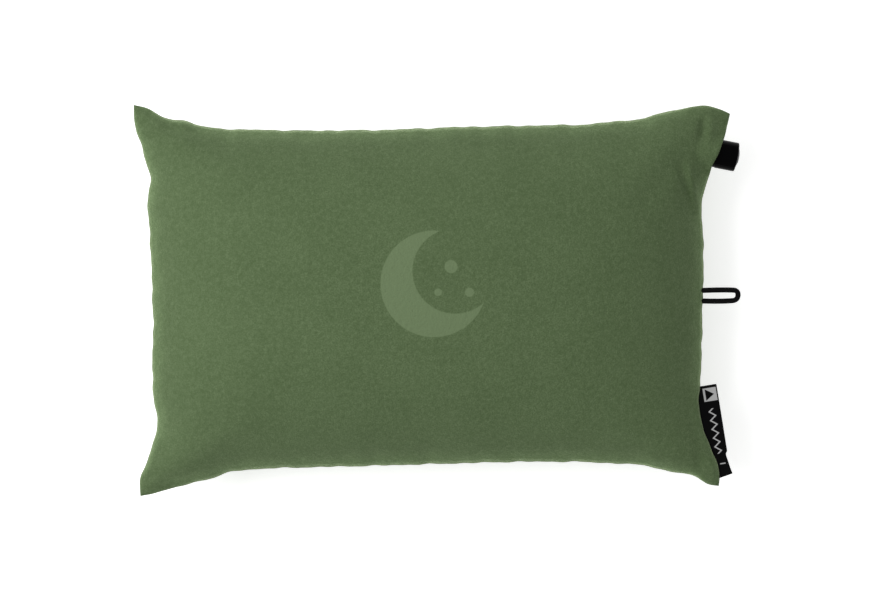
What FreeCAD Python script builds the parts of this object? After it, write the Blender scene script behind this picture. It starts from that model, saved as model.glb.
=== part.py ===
import FreeCAD, Part

import math
import os

from FreeCAD import Placement, Rotation, Vector

# Inflatable camp pillow, lying on its back panel.
# Row frame: millimetres, +Z up, +X along the long side towards the valve end, +Y towards the valve's side.
# The origin is on the floor, in the middle of the flat foot that the back panel rests on.
#
# From outside to inside: a sewn fabric case (top panel and two overlapping back panels), a foam pad, and an
# air bladder with three I-beam baffles. A twist valve is welded into the bladder and comes out of the seam.

# ---------------------------------------------------------------- driving dimensions
LOFT = 100.0            # height of the inflated pillow
SEAM_Z = 46.0           # height of the seam that joins the top panel to the back panels

# Corner tips of the case seen from above, and how far each side pulls in at its middle.
TIP_LEFT_FRONT = (-211.0, -140.5)
TIP_RIGHT_FRONT = (207.5, -135.5)
TIP_RIGHT_BACK = (214.5, 137.5)
TIP_LEFT_BACK = (-214.5, 139.5)
PULL_LEFT = 11.2
PULL_RIGHT = 16.4
PULL_FRONT = 19.7
PULL_BACK = 14.7
PULL_POWER = 4.0        # how far out towards the tips the sides stay straight

MEAN_HALF_LENGTH = 205.0    # turns an inset in mm into a share of the plan, along X
MEAN_HALF_WIDTH = 129.0     # and along Y

# The crown: 1 in the middle and 0 at the rim.
CROWN_POWER_LONG = 3.0
CROWN_POWER_SHORT = 2.3
CROWN_ROUNDNESS = 0.52
RIM_REACH = 0.985       # share of the full profile that is used, so that the rim is steep but not upright
FOOT_PRESS = 1.18       # the back would bulge this much further down if the floor didn't flatten it

# The seam's edge opens into a mouth that the valve comes out of.
MOUTH_RISE = 10.8       # added to half the height of the case's edge
MOUTH_V = 0.77          # where it is along the right-hand side, as a share of the half width
MOUTH_SPREAD_V = 0.11
MOUTH_SPREAD_U = 0.12

FABRIC = 1.0            # case fabric
SEAM_RIM = 1.3          # half the height of the case's edge at the seam
RIM_THINNING = 0.4      # how much of a layer's depth its rim moves in
THINNEST_RIM = 0.3
LAYER_GAP = 0.15        # clearance between soft layers
PANEL_OVERLAP_FROM = -30.0  # the right back panel's hidden edge
PANEL_OPENING_X = 30.0      # the left back panel's free edge
PANEL_STEP = 4.0        # width of the step where the right back panel drops to the floor

OVERLOCK_INSET = 1.6    # its outer edge, in from the case's edge
OVERLOCK_WIDTH = 5.8
OVERLOCK_HALF = 1.1     # half its thickness

FOAM_REACH_U = 0.86
FOAM_REACH_V = 0.84
FOAM_GAP = 0.3

BLADDER_INSET = 9.0     # weld flange's outer edge, in from the case's edge
WELD_WIDTH = 8.0
SKIN = 0.5              # coated bladder fabric
WELD_HALF = 0.6         # half the weld flange's thickness
WELD_RIM = 0.4          # half the height of the bladder's shape where it meets the flange
THINNEST_WELD = 0.15
BOAT_SLEEVE = 0.7       # skin round the weld boat, with its glue
BONDED_GAP = 0.1        # between a baffle's strips and the skins they are bonded to
TAB_THICKNESS = 0.4
BLADDER_TOP = 80.4
BLADDER_BOTTOM = 4.2
FLANGE_CORNER_R = 15.0
BAFFLE_V = (-0.44, 0.0, 0.44)   # where the baffles run, as a share of the half width
BAFFLE_HALF_LENGTH = 128.0
BAFFLE_TAB = 12.0       # width of the strips that bond a baffle to the skins
BAFFLE_WEB = 0.5
DIP_DEPTH = 0.11        # how deep a baffle pulls the skins in, as a share of the crown
DIP_WIDTH = 0.085
DIP_END_U = 0.62        # where the dips start to fade out
DIP_FADE_U = 0.16       # and over how far they fade

SACK_FROM_X = 62.0
SACK_HALF_WIDTH = 68.0
SACK_CLOTH = 0.45
SACK_HEM = 4.0          # from the pouch's outside to its inside, at its three sewn sides
SACK_BELOW_SEAM = 3.0
CARE_LABEL = (-166.0, -122.0, -104.0, -62.0)    # x from, x to, y from, y to
CARE_THICKNESS = 0.6

LABEL_TOP_OUTER = (204.7, -60.9)    # the side label's outer corner nearest the middle of the side
LABEL_LEAN = 9.3        # degrees that the label leans from the Y axis
LABEL_LENGTH = 67.0
LABEL_WIDTH = 15.0
LABEL_CLOTH = 0.4
LABEL_FOLD_GAP = 0.2

CORD_DIAMETER = 3.6
CORD_ROOM = 0.25        # between the cord and the seam it comes out of
LEG_ROOM_LENGTH = 14.0
# Hang loop: the route's points, from the seam round the loop and back into the seam.
LOOP_ROUTE = [
    (190.5, 6.35, SEAM_Z),
    (198.0, 6.65, SEAM_Z - 0.2),
    (205.6, 6.85, SEAM_Z - 0.8),
    (213.3, 6.90, SEAM_Z - 1.8),
    (221.2, 6.60, SEAM_Z - 3.1),
    (220.6, -0.60, SEAM_Z - 3.3),
    (212.9, -1.15, SEAM_Z - 2.0),
    (205.3, -1.30, SEAM_Z - 0.9),
    (197.8, -1.20, SEAM_Z - 0.3),
    (190.5, -1.00, SEAM_Z),
]
TACK_MIDDLE = Vector(191.8, 2.7, SEAM_Z)
TACK_SIZE = Vector(2.0, 13.0, 4.8)
ARC_SHARE = 0.45        # share of the shorter run that an arc takes at each end

# Valve. Distances along its axis start where the axis crosses the case's edge, and outwards is positive.
VALVE_EDGE = Vector(205.3, 105.4, SEAM_Z)
VALVE_TILT = -11.0      # degrees from +X, about +Z
KNOB_R = 10.5
KNOB_FROM = -6.2
KNOB_TO = 14.4
KNOB_DOME = 1.9
KNOB_EDGE_R = 0.8       # rounding of its outer rim
KNOB_SKIRT_R = 10.2     # the part that stays inside the case's mouth
KNOB_LAND_FROM = 0.2    # where the full radius starts
KNOB_BORE_R = 7.6       # 0.1 mm round the barrel
WEB_FROM = 11.4
WEB_TO = 12.9
CAP_R = 8.3
CAP_WALL = 1.1
AIR_HOLE_R = 1.6
AIR_HOLE_PITCH_R = 5.2
AIR_HOLES = 3
BARREL_R = 7.5
BARREL_TO = 7.6
NECK_FROM = -8.5        # outer face of the gasket
NECK_FLANGE = 1.6
NECK_FLANGE_R = 8.6
GASKET = 0.8
SPIGOT_R = 4.5
SPIGOT_TO = -19.5
AIRWAY_R = 3.2
SEAL_BORE_R = 4.5
SEAL_BORE_FROM = -6.5
WIDE_BORE_R = 5.6
SEAT_CHAMFER = 0.8
BOAT_FROM = -21.0
BOAT_HALF_WIDTH = 12.0
BOAT_HALF_HEIGHT = 6.2
POPPET_R = 4.3
POPPET_FROM = -4.5
POPPET_TO = -0.3
ORING_S = -2.4
ORING_MINOR_R = 0.58
STEM_R = 2.2
STEM_TIP_R = 1.9
KEY_WIDTH = 1.7
KEY_REACH = 6.4
TURN_DEG = 150.0        # travel of the knob
LIFT = 3.5              # travel of the knob and poppet along the axis over that turn
LUG_R = 1.3
LUG_S = -3.0
GROOVE_WIDTH = 3.0
GROOVE_FLOOR_R = 6.45
GROOVE_SPARE = 0.2      # room for a lug beyond each end of its travel
SLOT_FROM = 3.2         # inner end of the barrel's key slots
SLOT_SPARE = 0.3        # room round a key in its slot
WING_FROM = 3.6         # inner end of the poppet's keys
SHOULDER_R = 3.0        # collar on the stem that the knob's web sits on
SHOULDER_LENGTH = 1.5
ORING_SLIP = 0.02       # room between the O-ring and the bore it runs in
ORING_MAJOR_R = SEAL_BORE_R - ORING_SLIP - ORING_MINOR_R
ORING_GROOVE_HALF = 0.75
CLIP_GROOVE_R = 1.4
CLIP_R = 3.3
CLIP_THICKNESS = 0.7
CLIP_OPENING = 2.0
PRESS_ROOM = 0.05       # round parts that are pressed or glued together
LOOSE_ROOM = 0.1        # round and between parts that touch but aren't fastened
CASE_HOLE_R = 10.95     # room that the case leaves round the knob

Z_AXIS = Vector(0, 0, 1)
FAR = 600.0             # larger than the pillow, for cutting boxes
PAST = 1.0              # how far a cutter goes past what it cuts

# Points that the smooth faces pass through, along and across the pillow.
POINTS_LONG = 21
POINTS_ACROSS_PLAIN = 17
POINTS_ACROSS_MOUTH = 33    # enough for the valve's mouth
POINTS_ACROSS_DIPS = 41     # enough for the baffles' dips
CROWDING = math.radians(76)  # how strongly the points crowd towards the rim


# ---------------------------------------------------------------- the pillow's shape
def plan_point(u, v):
    """Point of the plan for u along X and v along Y, from -1 to 1. The sides pull in between the tips."""
    right, left, back, front = (1 + u) / 2, (1 - u) / 2, (1 + v) / 2, (1 - v) / 2
    tips = (
        (left * front, TIP_LEFT_FRONT),
        (right * front, TIP_RIGHT_FRONT),
        (right * back, TIP_RIGHT_BACK),
        (left * back, TIP_LEFT_BACK),
    )
    x = sum(share * tip[0] for share, tip in tips)
    y = sum(share * tip[1] for share, tip in tips)
    across = 1 - abs(v) ** PULL_POWER
    along = 1 - abs(u) ** PULL_POWER
    x += (PULL_LEFT * left**2 - PULL_RIGHT * right**2) * across
    y += (PULL_FRONT * front**2 - PULL_BACK * back**2) * along
    return x, y


def profile(t, power):
    """The crown's height along one direction: 1 at t = 0, 0 at t = 1, and steep near the rim."""

    def full(s):
        return (1.0 - abs(s) ** power) ** CROWN_ROUNDNESS

    rim = full(RIM_REACH)
    return (full(RIM_REACH * min(1.0, abs(t))) - rim) / (1.0 - rim)


def spaced(reach, count):
    """Values from -reach to reach, closer together towards the ends, where the crown is steep."""
    steps = [-CROWDING + 2 * CROWDING * i / (count - 1) for i in range(count)]
    return [reach * math.sin(s) / math.sin(CROWDING) for s in steps]


def height_face(height, reach_u, reach_v, count_u, count_v):
    """Smooth face over the plan, at height(u, v)."""
    rows = []
    for u in spaced(reach_u, count_u):
        row = []
        for v in spaced(reach_v, count_v):
            x, y = plan_point(u, v)
            row.append(Vector(x, y, height(u, v)))
        rows.append(row)
    surface = Part.BSplineSurface()
    surface.interpolate(rows)
    return surface


def between(upper, lower, reach_u, reach_v, count_v=POINTS_ACROSS_PLAIN):
    """Closed solid over the plan, from height lower(u, v) to height upper(u, v)."""
    over = height_face(upper, reach_u, reach_v, POINTS_LONG, count_v)
    under = height_face(lower, reach_u, reach_v, POINTS_LONG, count_v)
    faces = [over.toShape(), under.toShape()]
    sides = ("uIso", 0), ("uIso", 1), ("vIso", 0), ("vIso", 1)
    for kind, end in sides:
        rims = []
        for surface in (over, under):
            u0, u1, v0, v1 = surface.bounds()
            at = (u0, u1)[end] if kind == "uIso" else (v0, v1)[end]
            rims.append(getattr(surface, kind)(at).toShape())
        faces.append(Part.makeRuledSurface(rims[0], rims[1]))
    shell = Part.makeShell(faces)
    shell.sewShape()
    solid = Part.makeSolid(shell)
    if solid.Volume < 0:
        solid.reverse()
    return solid


class Lens:
    """Closed pillow shape: the plan moved in by inset, with a crowned top and a back with a flat foot."""

    def __init__(self, inset, top, bottom, rim, dips=False, mouth=False):
        self.reach_u = 1 - inset / MEAN_HALF_LENGTH
        self.reach_v = 1 - inset / MEAN_HALF_WIDTH
        self.top, self.bottom, self.rim, self.dips, self.mouth = top, bottom, rim, dips, mouth

    def crown(self, u, v):
        return profile(u / self.reach_u, CROWN_POWER_LONG) * profile(v / self.reach_v, CROWN_POWER_SHORT)

    def dip(self, u, v):
        """How far the baffles pull a skin in at this point, as a share of the crown."""
        if not self.dips:
            return 0.0
        fade = min(1.0, max(0.0, (abs(u) - DIP_END_U) / DIP_FADE_U))
        fade = 1 - fade * fade * (3 - 2 * fade)
        return DIP_DEPTH * fade * sum(math.exp(-(((v - at) / DIP_WIDTH) ** 2)) for at in BAFFLE_V)

    def opening(self, u, v):
        """How far the valve's mouth spreads each panel away from the seam at this point."""
        if not self.mouth:
            return 0.0
        along = math.exp(-(((v - MOUTH_V) / MOUTH_SPREAD_V) ** 2))
        return MOUTH_RISE * along * math.exp(-(((1 - u) / MOUTH_SPREAD_U) ** 2))

    def top_z(self, u, v):
        rise = (self.top - SEAM_Z - self.rim) * self.crown(u, v) * (1 - self.dip(u, v))
        return SEAM_Z + self.rim + rise + self.opening(u, v)

    def smooth_top_z(self, u, v):
        """The top without the baffles' dips."""
        return SEAM_Z + self.rim + (self.top - SEAM_Z - self.rim) * self.crown(u, v)

    def back_z(self, u, v):
        depth = (SEAM_Z - self.rim - self.bottom) * FOOT_PRESS
        return SEAM_Z - self.rim - depth * self.crown(u, v) - self.opening(u, v)

    def solid(self):
        count_v = POINTS_ACROSS_DIPS if self.dips else POINTS_ACROSS_MOUTH
        body = between(self.top_z, self.back_z, self.reach_u, self.reach_v, count_v)
        return body.cut(slab(-FAR, self.bottom))


def slab(low, high):
    """Everything between two heights."""
    return Part.makeBox(2 * FAR, 2 * FAR, high - low, Vector(-FAR, -FAR, low))


def column(x_from, x_to, y_from, y_to, low=-FAR, high=FAR):
    return Part.makeBox(x_to - x_from, y_to - y_from, high - low, Vector(x_from, y_from, low))


def plate(inset, half):
    """Flat plate at the seam with the case's outline moved in by inset."""
    reach_u = 1 - inset / MEAN_HALF_LENGTH
    reach_v = 1 - inset / MEAN_HALF_WIDTH
    return between(lambda u, v: SEAM_Z + half, lambda u, v: SEAM_Z - half, reach_u, reach_v)


def case_lens(depth):
    """The case's outer shape moved in by depth all round."""
    return Lens(depth, LOFT - depth, depth, max(THINNEST_RIM, SEAM_RIM - RIM_THINNING * depth), mouth=True)


# ---------------------------------------------------------------- hang loop
def corner_arc(before, corner, after):
    """Arc that rounds a corner of a route: its start, middle and end points, and its radius."""
    back, on = (before - corner), (after - corner)
    shorter = min(back.Length, on.Length)
    back.normalize()
    on.normalize()
    turn = math.pi - back.getAngle(on)
    reach = ARC_SHARE * shorter
    radius = reach / math.tan(turn / 2)
    middle_way = (back + on)
    middle_way.normalize()
    to_middle = radius / math.cos(turn / 2) - radius
    return corner + back * reach, corner + middle_way * to_middle, corner + on * reach, radius


def tube_along(route, diameter):
    """Round tube along straight runs joined by tangent arcs."""
    points = [Vector(*p) for p in route]
    edges, radii, here = [], [], points[0]
    for before, corner, after in zip(points, points[1:], points[2:]):
        start, middle, end, radius = corner_arc(before, corner, after)
        edges.append(Part.LineSegment(here, start).toShape())
        edges.append(Part.Arc(start, middle, end).toShape())
        radii.append(radius)
        here = end
    edges.append(Part.LineSegment(here, points[-1]).toShape())
    wire = Part.Wire(edges)
    ring = Part.Wire([Part.makeCircle(diameter / 2, points[0], points[1] - points[0])])
    tube = wire.makePipeShell([ring], True, True)
    section = math.pi * diameter**2 / 4
    print("tube", round(diameter, 2), "length", round(wire.Length, 2))
    print("  radii", [round(r, 1) for r in radii])
    print("  volume over section times length", round(tube.Volume / (section * wire.Length), 4))
    return tube


def hang_loop():
    return tube_along(LOOP_ROUTE, CORD_DIAMETER)


def leg_rooms():
    """Room round the loop's two straight legs, where they come out through the seam."""
    rooms = []
    for ends in (LOOP_ROUTE[:2], LOOP_ROUTE[:-3:-1]):
        inner, outer = (Vector(*p) for p in ends)
        way = (outer - inner).normalize()
        radius = CORD_DIAMETER / 2 + CORD_ROOM
        rooms.append(Part.makeCylinder(radius, LEG_ROOM_LENGTH, inner - way * PAST, way))
    return rooms


def tack_block(spare=0.0):
    half = TACK_SIZE / 2 + Vector(spare, spare, spare)
    low, high = TACK_MIDDLE - half, TACK_MIDDLE + half
    return column(low.x, high.x, low.y, high.y, low.z, high.z)


def hang_loop_tack():
    """Bar tack of thread round both legs of the loop, inside the seam."""
    return tack_block().cut(hang_loop())


# ---------------------------------------------------------------- side label
def label_box(x_from, x_to, y_to, half):
    """Box in the label's own directions: x outwards from its fold, y along it from its upper corner."""
    box = Part.makeBox(x_to - x_from, y_to, 2 * half, Vector(x_from, -y_to, -half))
    place = Vector(LABEL_TOP_OUTER[0], LABEL_TOP_OUTER[1], SEAM_Z)
    box.Placement = Placement(place, Rotation(Z_AXIS, LABEL_LEAN))
    return box


def side_label():
    """Tape folded in half along its length; both raw edges are in the seam."""
    half = LABEL_CLOTH + LABEL_FOLD_GAP / 2
    folded = label_box(-LABEL_WIDTH, 0, LABEL_LENGTH, half)
    inside = label_box(-LABEL_WIDTH - 1, -LABEL_CLOTH, LABEL_LENGTH, LABEL_FOLD_GAP / 2)
    return folded.cut(inside)


# ---------------------------------------------------------------- valve, built upright and laid on its axis
def on_valve_axis(shape):
    outward = Vector(math.cos(math.radians(VALVE_TILT)), math.sin(math.radians(VALVE_TILT)), 0)
    turned = shape.copy()
    turned.Placement = Placement(VALVE_EDGE, Rotation(Z_AXIS, outward))
    return turned


def rod(radius, start, end):
    return Part.makeCylinder(radius, end - start, Vector(0, 0, start))


def ring(outer, inner, start, end):
    return rod(outer, start, end).cut(rod(inner, start - PAST, end + PAST))


def around(shape, count):
    """Copies of a shape, evenly spaced about the valve's axis."""
    copies = []
    for i in range(count):
        copy = shape.copy()
        copy.rotate(Vector(0, 0, 0), Z_AXIS, 360.0 * i / count)
        copies.append(copy)
    return copies


def boat_prism(extra, start, end):
    """Weld boat's outline, two arcs that meet in points, grown by extra and drawn along the axis."""
    half_width, half_height = BOAT_HALF_WIDTH + 2 * extra, BOAT_HALF_HEIGHT + extra
    # The local Y axis lies in the seam's plane once the valve is laid down, and local X points down.
    tips = Vector(0, -half_width, start), Vector(0, half_width, start)
    upper = Part.Arc(tips[0], Vector(half_height, 0, start), tips[1]).toShape()
    lower = Part.Arc(tips[1], Vector(-half_height, 0, start), tips[0]).toShape()
    return Part.Face(Part.Wire([upper, lower])).extrude(Vector(0, 0, end - start))


def valve_boat():
    start, end = BOAT_FROM, NECK_FROM - GASKET
    boat = boat_prism(0, start, end)
    boat = boat.cut(rod(SPIGOT_R + PRESS_ROOM, SPIGOT_TO - LOOSE_ROOM, end + PAST))
    return boat.cut(rod(AIRWAY_R, start - PAST, end + PAST))


def valve_gasket():
    return ring(NECK_FLANGE_R - 2 * LOOSE_ROOM, SPIGOT_R + LOOSE_ROOM, NECK_FROM - GASKET, NECK_FROM)


def cam_groove():
    """Helical cutter that a knob's lug runs in."""
    lead = LIFT * 360.0 / TURN_DEG
    spare = math.degrees((LUG_R + GROOVE_SPARE) / BARREL_R)
    sweep = TURN_DEG + 2 * spare
    outer_r = BARREL_R + PAST / 2
    middle_r = (GROOVE_FLOOR_R + outer_r) / 2
    path = Part.makeHelix(lead, lead * sweep / 360.0, middle_r)
    low, high = -GROOVE_WIDTH / 2, GROOVE_WIDTH / 2
    corners = [
        Vector(GROOVE_FLOOR_R, 0, low),
        Vector(outer_r, 0, low),
        Vector(outer_r, 0, high),
        Vector(GROOVE_FLOOR_R, 0, high),
    ]
    outline = Part.makePolygon(corners + corners[:1])
    groove = Part.Wire(path.Edges).makePipeShell([outline], True, True)
    groove.rotate(Vector(0, 0, 0), Z_AXIS, 90.0 - spare)
    groove.translate(Vector(0, 0, LUG_S - lead * spare / 360.0))
    return groove


def wings(reach, width, start, end):
    """Two keys, one each side of the axis, with round ends."""
    bar = Part.makeBox(2 * reach, width, end - start, Vector(-reach, -width / 2, start))
    return bar.common(rod(reach, start, end))


def valve_body():
    """Neck on the boat: airway, sealing bore, wide bore with key slots, and two cam grooves outside."""
    flange_to = NECK_FROM + NECK_FLANGE
    body = rod(SPIGOT_R, SPIGOT_TO, flange_to)
    body = body.fuse(rod(NECK_FLANGE_R, NECK_FROM, flange_to))
    body = body.fuse(rod(BARREL_R, NECK_FROM, BARREL_TO))
    body = body.cut(rod(AIRWAY_R, SPIGOT_TO - PAST, SEAL_BORE_FROM + PAST))
    body = body.cut(rod(SEAL_BORE_R, SEAL_BORE_FROM, PAST))
    chamfer = Part.makeCone(SEAL_BORE_R, WIDE_BORE_R, SEAT_CHAMFER)
    body = body.cut(chamfer)
    body = body.cut(rod(WIDE_BORE_R, SEAT_CHAMFER, BARREL_TO + PAST))
    body = body.cut(wings(KEY_REACH + SLOT_SPARE, KEY_WIDTH + SLOT_SPARE, SLOT_FROM, BARREL_TO + PAST))
    for groove in around(cam_groove(), 2):
        body = body.cut(groove)
    return body.removeSplitter()


def valve_poppet():
    """Plug that closes the sealing bore. Its two keys stop it turning, and its stem carries the knob."""
    poppet = rod(POPPET_R, POPPET_FROM, POPPET_TO)
    groove_r = ORING_MAJOR_R - ORING_MINOR_R - ORING_SLIP
    groove_from, groove_to = ORING_S - ORING_GROOVE_HALF, ORING_S + ORING_GROOVE_HALF
    poppet = poppet.cut(ring(POPPET_R + PAST, groove_r, groove_from, groove_to))
    stem_to = WEB_FROM - LOOSE_ROOM
    poppet = poppet.fuse(rod(STEM_R, POPPET_FROM + PAST, stem_to))
    poppet = poppet.fuse(rod(SHOULDER_R, stem_to - SHOULDER_LENGTH, stem_to))
    poppet = poppet.fuse(rod(STEM_TIP_R, stem_to - PAST, KNOB_TO - LOOSE_ROOM))
    poppet = poppet.fuse(wings(KEY_REACH, KEY_WIDTH, WING_FROM, BARREL_TO))
    clip_from, clip_to = clip_place()
    groove = ring(STEM_TIP_R + PAST, CLIP_GROOVE_R, clip_from - PRESS_ROOM, clip_to + PRESS_ROOM)
    return poppet.cut(groove).removeSplitter()


def clip_place():
    start = WEB_TO + LOOSE_ROOM
    return start, start + CLIP_THICKNESS


def valve_clip():
    """Open spring clip that holds the knob on the stem."""
    clip_from, clip_to = clip_place()
    clip = ring(CLIP_R, CLIP_GROOVE_R + PRESS_ROOM, clip_from, clip_to)
    gap = Part.makeBox(2 * CLIP_R, CLIP_OPENING, 2 * PAST, Vector(0, -CLIP_OPENING / 2, clip_from - PAST / 2))
    return clip.cut(gap)


def poppet_oring():
    return Part.makeTorus(ORING_MAJOR_R, ORING_MINOR_R, Vector(0, 0, ORING_S))


def valve_knob():
    """Twist grip and mouthpiece: a cup whose two inner lugs run in the barrel's cam grooves."""
    knob = rod(KNOB_R, KNOB_LAND_FROM, KNOB_TO)
    rims = [e for e in knob.Edges if len(e.Vertexes) == 1 and e.CenterOfMass.z > KNOB_LAND_FROM + PAST]
    knob = knob.makeFillet(KNOB_EDGE_R, rims)
    knob = knob.fuse(rod(KNOB_SKIRT_R, KNOB_FROM, KNOB_LAND_FROM + PAST))
    knob = knob.cut(rod(KNOB_BORE_R, KNOB_FROM - PAST, WEB_FROM))
    knob = knob.cut(rod(CAP_R + LOOSE_ROOM, WEB_TO, KNOB_TO + PAST))
    knob = knob.cut(rod(STEM_TIP_R + LOOSE_ROOM, WEB_FROM - PAST, WEB_TO + PAST))
    for hole in air_holes(WEB_FROM - PAST, WEB_TO + PAST):
        knob = knob.cut(hole)
    lug_from, lug_to = GROOVE_FLOOR_R + 1.5 * LOOSE_ROOM, (KNOB_BORE_R + KNOB_SKIRT_R) / 2
    lug = Part.makeCylinder(LUG_R, lug_to - lug_from)
    lug.Placement = Placement(Vector(0, lug_from, LUG_S), Rotation(Z_AXIS, Vector(0, 1, 0)))
    for copy in around(lug, 2):
        knob = knob.fuse(copy)
    return knob.removeSplitter()


def air_holes(start, end):
    hole = Part.makeCylinder(AIR_HOLE_R, end - start, Vector(0, AIR_HOLE_PITCH_R, start))
    return around(hole, AIR_HOLES)


def dome(radius, base, apex):
    """Solid of revolution under a shallow arc from the rim at base to the axis at apex."""
    rim, top = Vector(radius, 0, base), Vector(0, 0, apex)
    sphere_r = (radius**2 + (apex - base) ** 2) / (2 * (apex - base))
    half = math.asin(radius / sphere_r) / 2
    middle = Vector(sphere_r * math.sin(half), 0, apex - sphere_r * (1 - math.cos(half)))
    foot, axis_foot = Vector(radius, 0, base - PAST), Vector(0, 0, base - PAST)
    edges = [
        Part.Arc(rim, middle, top).toShape(),
        Part.LineSegment(top, axis_foot).toShape(),
        Part.LineSegment(axis_foot, foot).toShape(),
        Part.LineSegment(foot, rim).toShape(),
    ]
    return Part.Face(Part.Wire(edges)).revolve(Vector(0, 0, 0), Z_AXIS, 360)


def valve_end_cap():
    """Domed, perforated end of the mouthpiece, pressed into the knob."""
    apex = KNOB_TO + KNOB_DOME
    cap = dome(CAP_R, KNOB_TO, apex).fuse(rod(CAP_R, WEB_TO, KNOB_TO - PAST / 2)).removeSplitter()
    cap = cap.cut(rod(CAP_R - CAP_WALL, WEB_TO - PAST, KNOB_TO - 2 * LOOSE_ROOM))
    cap = cap.cut(dome(CAP_R - CAP_WALL, KNOB_TO - 3 * LOOSE_ROOM, apex - CAP_WALL))
    for hole in air_holes(WEB_TO - PAST, apex + PAST):
        cap = cap.cut(hole)
    return cap


# ---------------------------------------------------------------- case
def case_panels(outer, inner, room):
    """Top panel and the two back panels, with room cut for what comes out of the seam."""
    shell = outer.cut(inner)
    top = shell.common(slab(SEAM_Z, 2 * LOFT)).cut(room)
    left = shell.common(column(-FAR, PANEL_OPENING_X, -FAR, FAR, -1, SEAM_Z)).cut(room)
    # The right panel starts as thick as two layers and loses one of them on each side of the step.
    hidden_outer = case_lens(FABRIC + LAYER_GAP).solid()
    hidden_inner = case_lens(2 * FABRIC + LAYER_GAP).solid()
    step_to = PANEL_OPENING_X + PANEL_STEP
    right = outer.cut(hidden_inner).common(column(PANEL_OVERLAP_FROM, FAR, -FAR, FAR, -1, SEAM_Z))
    right = right.cut(column(-FAR, PANEL_OPENING_X + 2 * LAYER_GAP, -FAR, FAR).cut(hidden_outer))
    right = right.cut(column(-FAR, step_to, -FAR, FAR, SEAM_Z - OVERLOCK_HALF - PRESS_ROOM, FAR))
    right = right.cut(inner.common(column(step_to, FAR, -FAR, FAR))).cut(room)
    return top, left, right


def seam_overlock(room):
    """Overlocked seam allowance that runs round the inside of the case's edge."""
    band = plate(OVERLOCK_INSET, OVERLOCK_HALF).cut(plate(OVERLOCK_INSET + OVERLOCK_WIDTH, 2 * OVERLOCK_HALF))
    # The room for the loop leaves a crumb outside the tack, which isn't kept.
    return max(band.cut(room).Solids, key=lambda solid: solid.Volume)


# ---------------------------------------------------------------- foam and bladder
def foam_pad(case_inside, bladder):
    """Foam that fills the space between the case's top and the bladder."""
    return between(
        lambda u, v: case_inside.top_z(u, v) - FOAM_GAP,
        lambda u, v: bladder.smooth_top_z(u, v) + FOAM_GAP,
        FOAM_REACH_U,
        FOAM_REACH_V,
    )


def bladder_lens(depth):
    """The bladder's shape moved in by depth from its outer surface."""
    rim = max(THINNEST_WELD, WELD_RIM - RIM_THINNING * depth)
    inset = BLADDER_INSET + WELD_WIDTH + depth
    return Lens(inset, BLADDER_TOP - depth, BLADDER_BOTTOM + depth, rim, dips=True)


def bladder_skins():
    """Top and bottom skins, bonded round their edge and round the valve's weld boat."""
    flange = plate(BLADDER_INSET, WELD_HALF)
    corners = [e for e in flange.Edges if abs(e.tangentAt(e.FirstParameter).z) > 0.99]
    flange = flange.makeFillet(FLANGE_CORNER_R, corners)
    flange = flange.cut(plate(BLADDER_INSET + WELD_WIDTH + SKIN / 2, 2 * WELD_HALF))
    boat_end = NECK_FROM - GASKET
    sleeve = on_valve_axis(boat_prism(BOAT_SLEEVE, BOAT_FROM, boat_end))
    boat_room = on_valve_axis(boat_prism(LOOSE_ROOM, BOAT_FROM - WELD_WIDTH, boat_end + PAST))
    neck_room = on_valve_axis(rod(NECK_FLANGE_R + 4 * LOOSE_ROOM, boat_end, KNOB_TO))
    hollow = bladder_lens(0).solid().cut(bladder_lens(SKIN).solid())
    skins = []
    for half_space in (slab(SEAM_Z, 2 * LOFT), slab(-1, SEAM_Z)):
        skin = hollow.common(half_space).fuse(flange.common(half_space))
        skin = skin.fuse(sleeve.common(half_space))
        skins.append(skin.cut(boat_room).cut(neck_room))
    return skins


def baffles():
    """I-beam baffles: a web between two bonding strips, stopping short of the ends so that air can pass."""
    tab_outer = bladder_lens(SKIN + BONDED_GAP).solid()
    tab_inner = bladder_lens(SKIN + BONDED_GAP + TAB_THICKNESS).solid()
    made = []
    for at in BAFFLE_V:
        y = plan_point(0, at)[1]
        reach = BAFFLE_HALF_LENGTH
        beam = tab_outer.common(column(-reach, reach, y - BAFFLE_TAB / 2, y + BAFFLE_TAB / 2))
        beside_web = (-BAFFLE_TAB, -BAFFLE_WEB / 2), (BAFFLE_WEB / 2, BAFFLE_TAB)
        for room_from, room_to in beside_web:
            beam = beam.cut(tab_inner.common(column(-FAR, FAR, y + room_from, y + room_to)))
        made.append(beam)
    return made


# ---------------------------------------------------------------- stuff sack and care label, on the back
def layer_on_back(near, far, region):
    """Cloth that follows the inside of the back, between two depths from the case's outer shape."""
    return case_lens(near).solid().cut(case_lens(far).solid()).common(region)


def stuff_sack():
    """Flat pouch sewn into the right-hand seam, with its mouth towards the case's opening."""
    near = FABRIC + LAYER_GAP
    far = near + 3 * SACK_CLOTH
    below_seam = SEAM_Z - SACK_BELOW_SEAM
    outside = column(SACK_FROM_X, FAR, -SACK_HALF_WIDTH, SACK_HALF_WIDTH, -1, below_seam)
    half_inside = SACK_HALF_WIDTH - SACK_HEM
    inside = column(0, FAR, -half_inside, half_inside, -1, below_seam - SACK_HEM)
    pouch = layer_on_back(near, far, outside)
    return pouch.cut(layer_on_back(near + SACK_CLOTH, far - SACK_CLOTH, inside))


def care_label():
    near = FABRIC + LAYER_GAP
    return layer_on_back(near, near + CARE_THICKNESS, column(*CARE_LABEL, -1, SEAM_Z))


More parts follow.
